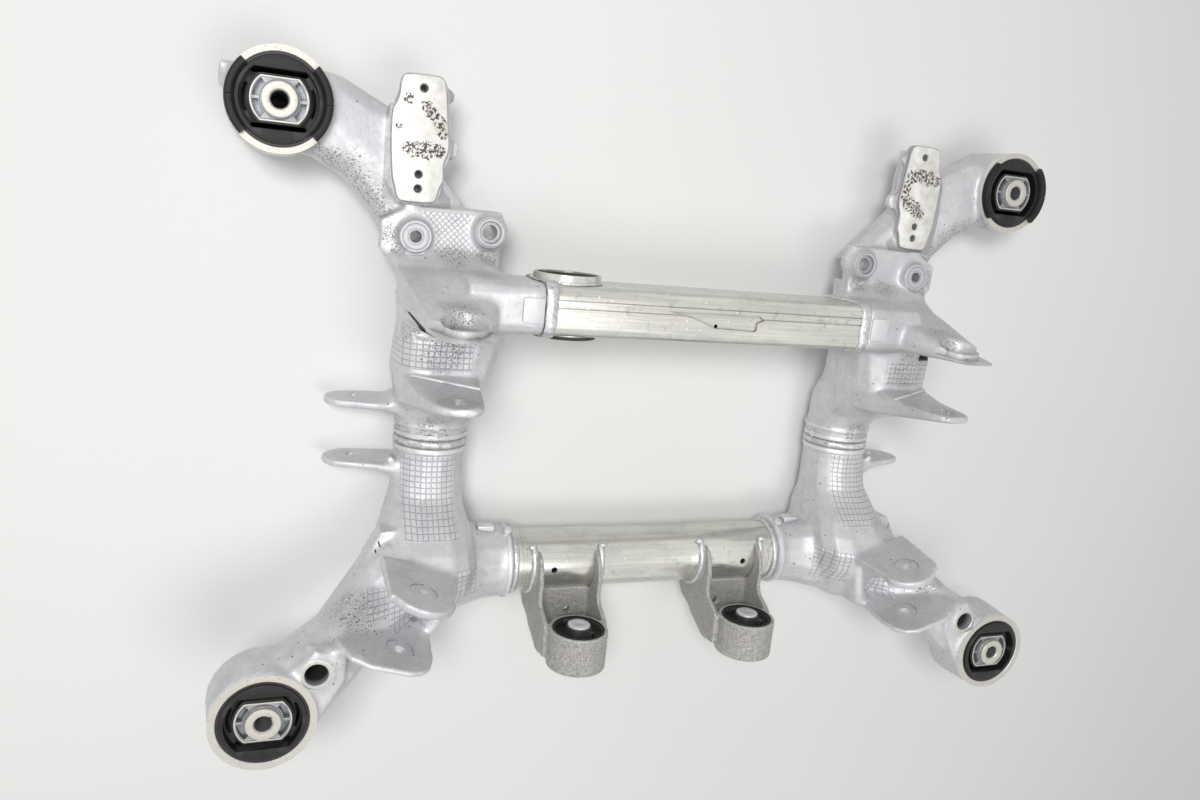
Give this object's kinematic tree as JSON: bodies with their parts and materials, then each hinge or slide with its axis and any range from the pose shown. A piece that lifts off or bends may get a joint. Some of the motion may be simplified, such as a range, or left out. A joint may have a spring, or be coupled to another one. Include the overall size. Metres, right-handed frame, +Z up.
{
  "type": "rear axle subframe",
  "caption": "Rear axle subframe: cast corner nodes joined by a box cross tube and a round cross tube, with rubber mounts, link ears and differential brackets.",
  "frame": {"origin": "middle of the part's footprint on the surface that it lies on", "axes": "+X to the part's right, with the collared tube end at -X; +Y towards the two rear mounts and the box cross tube; +Z up, out of the side that the picture shows"},
  "size_m": [1.121, 0.773, 0.3075],
  "materials": {
    "cast_aluminium": "dull as-cast grey with fine dark speckle",
    "tube_aluminium": "drawn tube, satin",
    "weld_aluminium": "rippled weld bead",
    "bracket_aluminium": "rough as-cast, darkened",
    "rubber_black": "matt moulded rubber",
    "sleeve_steel": "thin dark pressed sleeve",
    "core_aluminium": "machined, satin"
  },
  "bodies": {
    "root": {"box_weld_left_back": "weld_aluminium", "box_weld_left_front": "weld_aluminium", "box_weld_right": "weld_aluminium", "bush_core_left": "core_aluminium", "bush_core_right": "core_aluminium", "bush_rubber_left": "rubber_black", "bush_rubber_right": "rubber_black", "bush_sleeve_left": "sleeve_steel", "bush_sleeve_right": "sleeve_steel", "collar_weld": "weld_aluminium", "diff_bracket_left": "bracket_aluminium", "diff_bracket_right": "bracket_aluminium", "front_cross_tube": "tube_aluminium", "front_mount_left_core": "core_aluminium", "front_mount_left_rubber": "rubber_black", "front_mount_left_sleeve": "sleeve_steel", "front_mount_right_core": "core_aluminium", "front_mount_right_rubber": "rubber_black", "front_mount_right_sleeve": "sleeve_steel", "front_node_left": "cast_aluminium", "front_node_right": "cast_aluminium", "neck_weld_left": "weld_aluminium", "neck_weld_right": "weld_aluminium", "rear_cross_tube": "tube_aluminium", "rear_mount_left_core": "core_aluminium", "rear_mount_left_rubber": "rubber_black", "rear_mount_left_sleeve": "sleeve_steel", "rear_mount_right_core": "core_aluminium", "rear_mount_right_rubber": "rubber_black", "rear_mount_right_sleeve": "sleeve_steel", "rear_node_left": "cast_aluminium", "rear_node_right": "cast_aluminium", "round_weld_left": "weld_aluminium", "round_weld_right": "weld_aluminium", "tube_collar": "tube_aluminium"}
  },
  "joints": []
}
